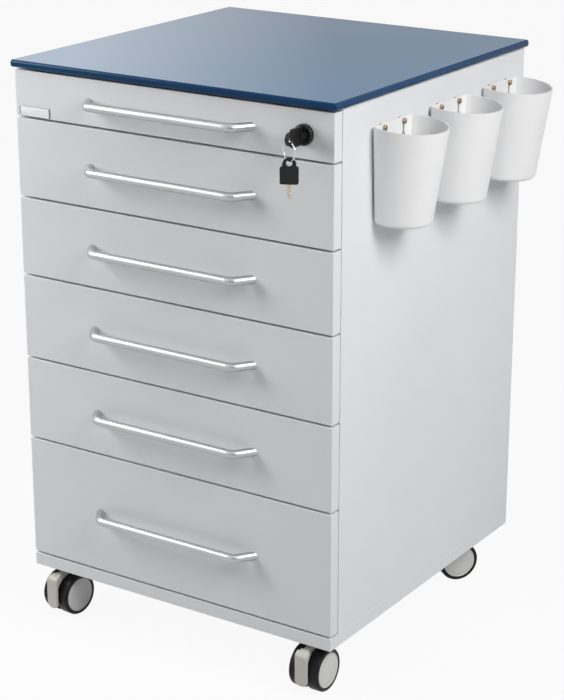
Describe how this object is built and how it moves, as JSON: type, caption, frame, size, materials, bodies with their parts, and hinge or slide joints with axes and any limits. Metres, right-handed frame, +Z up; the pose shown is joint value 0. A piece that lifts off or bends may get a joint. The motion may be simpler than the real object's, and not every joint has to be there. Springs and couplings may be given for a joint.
{
  "type": "dental cabinet",
  "caption": "Mobile dental cabinet with a blue glass top, bow-handled drawers, a central lock with keys and cups hung on the right side",
  "frame": {"origin": "on the floor, under the middle of the overall box", "axes": "+Z up, the drawers open towards -Y, the cups are on the +X side"},
  "size_m": [0.584, 0.546, 0.806],
  "materials": {
    "blue_glass": "polished, coloured through",
    "clear_pad": "soft, clear",
    "board": "white coated board, satin",
    "front_laminate": "white coated board, satin",
    "tray_paint": "powder coat, satin",
    "runner_steel": "zinc plated",
    "dowel_wood": "raw beech",
    "handle_aluminium": "satin anodised",
    "screw_brass": "polished",
    "lock_black": "black, satin",
    "lock_plug": "turned, nickel plated",
    "key_black": "moulded head on a plated blade",
    "ring_wire": "polished wire",
    "badge": "satin, bare",
    "caster_grey": "moulded, light grey",
    "wheel_tyre": "soft black tread on a grey hub",
    "cup_white": "moulded, glossy"
  },
  "bodies": {
    "carcass": {"glass_top": "blue_glass", "glass_pads": "clear_pad", "top_board": "board", "left_side_panel": "board", "right_side_panel": "board", "back_panel": "board", "bottom_board": "board", "cabinet_runners": "runner_steel", "carcass_fasteners": "dowel_wood", "caster_plates": "runner_steel", "cup_screws": "screw_brass", "lock_bar_guides": "runner_steel"},
    "lock_bar": {"lock_bar": "runner_steel"},
    "lock_plug": {"lock_plug": "lock_plug", "lock_key": "key_black"},
    "key_ring": {"key_ring": "ring_wire"},
    "drawer_1": {"drawer_1_front": "front_laminate", "drawer_1_box": "tray_paint", "drawer_1_handle": "handle_aluminium", "lock_case": "lock_black", "name_plate": "badge"},
    "middle_runners_1": {"drawer_1_middle_runners": "runner_steel"},
    "drawer_2": {"drawer_2_front": "front_laminate", "drawer_2_box": "tray_paint", "drawer_2_handle": "handle_aluminium"},
    "middle_runners_2": {"drawer_2_middle_runners": "runner_steel"},
    "drawer_3": {"drawer_3_front": "front_laminate", "drawer_3_box": "tray_paint", "drawer_3_handle": "handle_aluminium"},
    "middle_runners_3": {"drawer_3_middle_runners": "runner_steel"},
    "drawer_4": {"drawer_4_front": "front_laminate", "drawer_4_box": "tray_paint", "drawer_4_handle": "handle_aluminium"},
    "middle_runners_4": {"drawer_4_middle_runners": "runner_steel"},
    "drawer_5": {"drawer_5_front": "front_laminate", "drawer_5_box": "tray_paint", "drawer_5_handle": "handle_aluminium"},
    "middle_runners_5": {"drawer_5_middle_runners": "runner_steel"},
    "drawer_6": {"drawer_6_front": "front_laminate", "drawer_6_box": "tray_paint", "drawer_6_handle": "handle_aluminium"},
    "middle_runners_6": {"drawer_6_middle_runners": "runner_steel"},
    "caster_front_left": {"caster_front_left_housing": "caster_grey"},
    "caster_front_left_wheel_a": {"caster_front_left_wheel_a": "wheel_tyre"},
    "caster_front_left_wheel_b": {"caster_front_left_wheel_b": "wheel_tyre"},
    "caster_front_left_brake_lever": {"caster_front_left_brake_lever": "caster_grey"},
    "caster_front_right": {"caster_front_right_housing": "caster_grey"},
    "caster_front_right_wheel_a": {"caster_front_right_wheel_a": "wheel_tyre"},
    "caster_front_right_wheel_b": {"caster_front_right_wheel_b": "wheel_tyre"},
    "caster_front_right_brake_lever": {"caster_front_right_brake_lever": "caster_grey"},
    "caster_rear_left": {"caster_rear_left_housing": "caster_grey"},
    "caster_rear_left_wheel_a": {"caster_rear_left_wheel_a": "wheel_tyre"},
    "caster_rear_left_wheel_b": {"caster_rear_left_wheel_b": "wheel_tyre"},
    "caster_rear_right": {"caster_rear_right_housing": "caster_grey"},
    "caster_rear_right_wheel_a": {"caster_rear_right_wheel_a": "wheel_tyre"},
    "caster_rear_right_wheel_b": {"caster_rear_right_wheel_b": "wheel_tyre"},
    "cup_1": {"cup_1": "cup_white"},
    "cup_2": {"cup_2": "cup_white"},
    "cup_3": {"cup_3": "cup_white"}
  },
  "joints": [
    {"name": "drawer_1_slide", "type": "slide", "parent": "carcass", "child": "drawer_1", "axis": [0, -1, 0], "range_m": [0, 0.42]},
    {"name": "middle_runners_1_slide", "type": "slide", "parent": "carcass", "child": "middle_runners_1", "axis": [0, -1, 0], "range_m": [0, 0.21]},
    {"name": "drawer_2_slide", "type": "slide", "parent": "carcass", "child": "drawer_2", "axis": [0, -1, 0], "range_m": [0, 0.42]},
    {"name": "middle_runners_2_slide", "type": "slide", "parent": "carcass", "child": "middle_runners_2", "axis": [0, -1, 0], "range_m": [0, 0.21]},
    {"name": "drawer_3_slide", "type": "slide", "parent": "carcass", "child": "drawer_3", "axis": [0, -1, 0], "range_m": [0, 0.42]},
    {"name": "middle_runners_3_slide", "type": "slide", "parent": "carcass", "child": "middle_runners_3", "axis": [0, -1, 0], "range_m": [0, 0.21]},
    {"name": "drawer_4_slide", "type": "slide", "parent": "carcass", "child": "drawer_4", "axis": [0, -1, 0], "range_m": [0, 0.42]},
    {"name": "middle_runners_4_slide", "type": "slide", "parent": "carcass", "child": "middle_runners_4", "axis": [0, -1, 0], "range_m": [0, 0.21]},
    {"name": "drawer_5_slide", "type": "slide", "parent": "carcass", "child": "drawer_5", "axis": [0, -1, 0], "range_m": [0, 0.42]},
    {"name": "middle_runners_5_slide", "type": "slide", "parent": "carcass", "child": "middle_runners_5", "axis": [0, -1, 0], "range_m": [0, 0.21]},
    {"name": "drawer_6_slide", "type": "slide", "parent": "carcass", "child": "drawer_6", "axis": [0, -1, 0], "range_m": [0, 0.42]},
    {"name": "middle_runners_6_slide", "type": "slide", "parent": "carcass", "child": "middle_runners_6", "axis": [0, -1, 0], "range_m": [0, 0.21]},
    {"name": "lock_plug_turn", "type": "hinge", "parent": "drawer_1", "child": "lock_plug", "pos_m": [0.17, -0.232, 0.762], "axis": [0, -1, 0], "range_deg": [0, 90]},
    {"name": "lock_bar_slide", "type": "slide", "parent": "carcass", "child": "lock_bar", "axis": [0, 0, 1], "range_m": [0, 0.01131]},
    {"name": "key_ring_swing", "type": "hinge", "parent": "lock_plug", "child": "key_ring", "pos_m": [0.17, -0.266, 0.75975], "axis": [1, 0, 0], "range_deg": [-15, 20]},
    {"name": "caster_front_left_swivel", "type": "hinge", "parent": "carcass", "child": "caster_front_left", "pos_m": [-0.2465, -0.185, 0.03], "axis": [0, 0, 1], "continuous": true},
    {"name": "caster_front_left_wheel_a_roll", "type": "hinge", "parent": "caster_front_left", "child": "caster_front_left_wheel_a", "pos_m": [-0.24861, -0.2069, 0.03], "axis": [0.9954, -0.0958, 0], "continuous": true},
    {"name": "caster_front_left_wheel_b_roll", "type": "hinge", "parent": "caster_front_left", "child": "caster_front_left_wheel_b", "pos_m": [-0.24861, -0.2069, 0.03], "axis": [0.9954, -0.0958, 0], "continuous": true},
    {"name": "caster_front_left_brake_lever_turn", "type": "hinge", "parent": "caster_front_left", "child": "caster_front_left_brake_lever", "pos_m": [-0.25081, -0.22979, 0.06], "axis": [-0.9954, 0.0958, 0], "range_deg": [0, 28]},
    {"name": "caster_front_right_swivel", "type": "hinge", "parent": "carcass", "child": "caster_front_right", "pos_m": [0.1725, -0.185, 0.03], "axis": [0, 0, 1], "continuous": true},
    {"name": "caster_front_right_wheel_a_roll", "type": "hinge", "parent": "caster_front_right", "child": "caster_front_right_wheel_a", "pos_m": [0.17269, -0.207, 0.03], "axis": [1, 0.0087, 0], "continuous": true},
    {"name": "caster_front_right_wheel_b_roll", "type": "hinge", "parent": "caster_front_right", "child": "caster_front_right_wheel_b", "pos_m": [0.17269, -0.207, 0.03], "axis": [1, 0.0087, 0], "continuous": true},
    {"name": "caster_front_right_brake_lever_turn", "type": "hinge", "parent": "caster_front_right", "child": "caster_front_right_brake_lever", "pos_m": [0.17289, -0.23, 0.06], "axis": [-1, -0.0087, 0], "range_deg": [0, 28]},
    {"name": "caster_rear_left_swivel", "type": "hinge", "parent": "carcass", "child": "caster_rear_left", "pos_m": [-0.2465, 0.221, 0.03], "axis": [0, 0, 1], "continuous": true},
    {"name": "caster_rear_left_wheel_a_roll", "type": "hinge", "parent": "caster_rear_left", "child": "caster_rear_left_wheel_a", "pos_m": [-0.2355, 0.20195, 0.03], "axis": [0.866, 0.5, 0], "continuous": true},
    {"name": "caster_rear_left_wheel_b_roll", "type": "hinge", "parent": "caster_rear_left", "child": "caster_rear_left_wheel_b", "pos_m": [-0.2355, 0.20195, 0.03], "axis": [0.866, 0.5, 0], "continuous": true},
    {"name": "caster_rear_right_swivel", "type": "hinge", "parent": "carcass", "child": "caster_rear_right", "pos_m": [0.1725, 0.221, 0.03], "axis": [0, 0, 1], "continuous": true},
    {"name": "caster_rear_right_wheel_a_roll", "type": "hinge", "parent": "caster_rear_right", "child": "caster_rear_right_wheel_a", "pos_m": [0.15926, 0.20343, 0.03], "axis": [0.7986, -0.6018, 0], "continuous": true},
    {"name": "caster_rear_right_wheel_b_roll", "type": "hinge", "parent": "caster_rear_right", "child": "caster_rear_right_wheel_b", "pos_m": [0.15926, 0.20343, 0.03], "axis": [0.7986, -0.6018, 0], "continuous": true},
    {"name": "cup_1_lift", "type": "slide", "parent": "carcass", "child": "cup_1", "axis": [0, 0, 1], "range_m": [0, 0.018]},
    {"name": "cup_2_lift", "type": "slide", "parent": "carcass", "child": "cup_2", "axis": [0, 0, 1], "range_m": [0, 0.018]},
    {"name": "cup_3_lift", "type": "slide", "parent": "carcass", "child": "cup_3", "axis": [0, 0, 1], "range_m": [0, 0.018]}
  ],
  "couplings": [
    {"joint": "middle_runners_1_slide", "follows": "drawer_1_slide", "ratio": 0.5},
    {"joint": "middle_runners_2_slide", "follows": "drawer_2_slide", "ratio": 0.5},
    {"joint": "middle_runners_3_slide", "follows": "drawer_3_slide", "ratio": 0.5},
    {"joint": "middle_runners_4_slide", "follows": "drawer_4_slide", "ratio": 0.5},
    {"joint": "middle_runners_5_slide", "follows": "drawer_5_slide", "ratio": 0.5},
    {"joint": "middle_runners_6_slide", "follows": "drawer_6_slide", "ratio": 0.5},
    {"joint": "lock_plug_turn", "follows": "lock_bar_slide", "rad_per_m": 138.84}
  ]
}
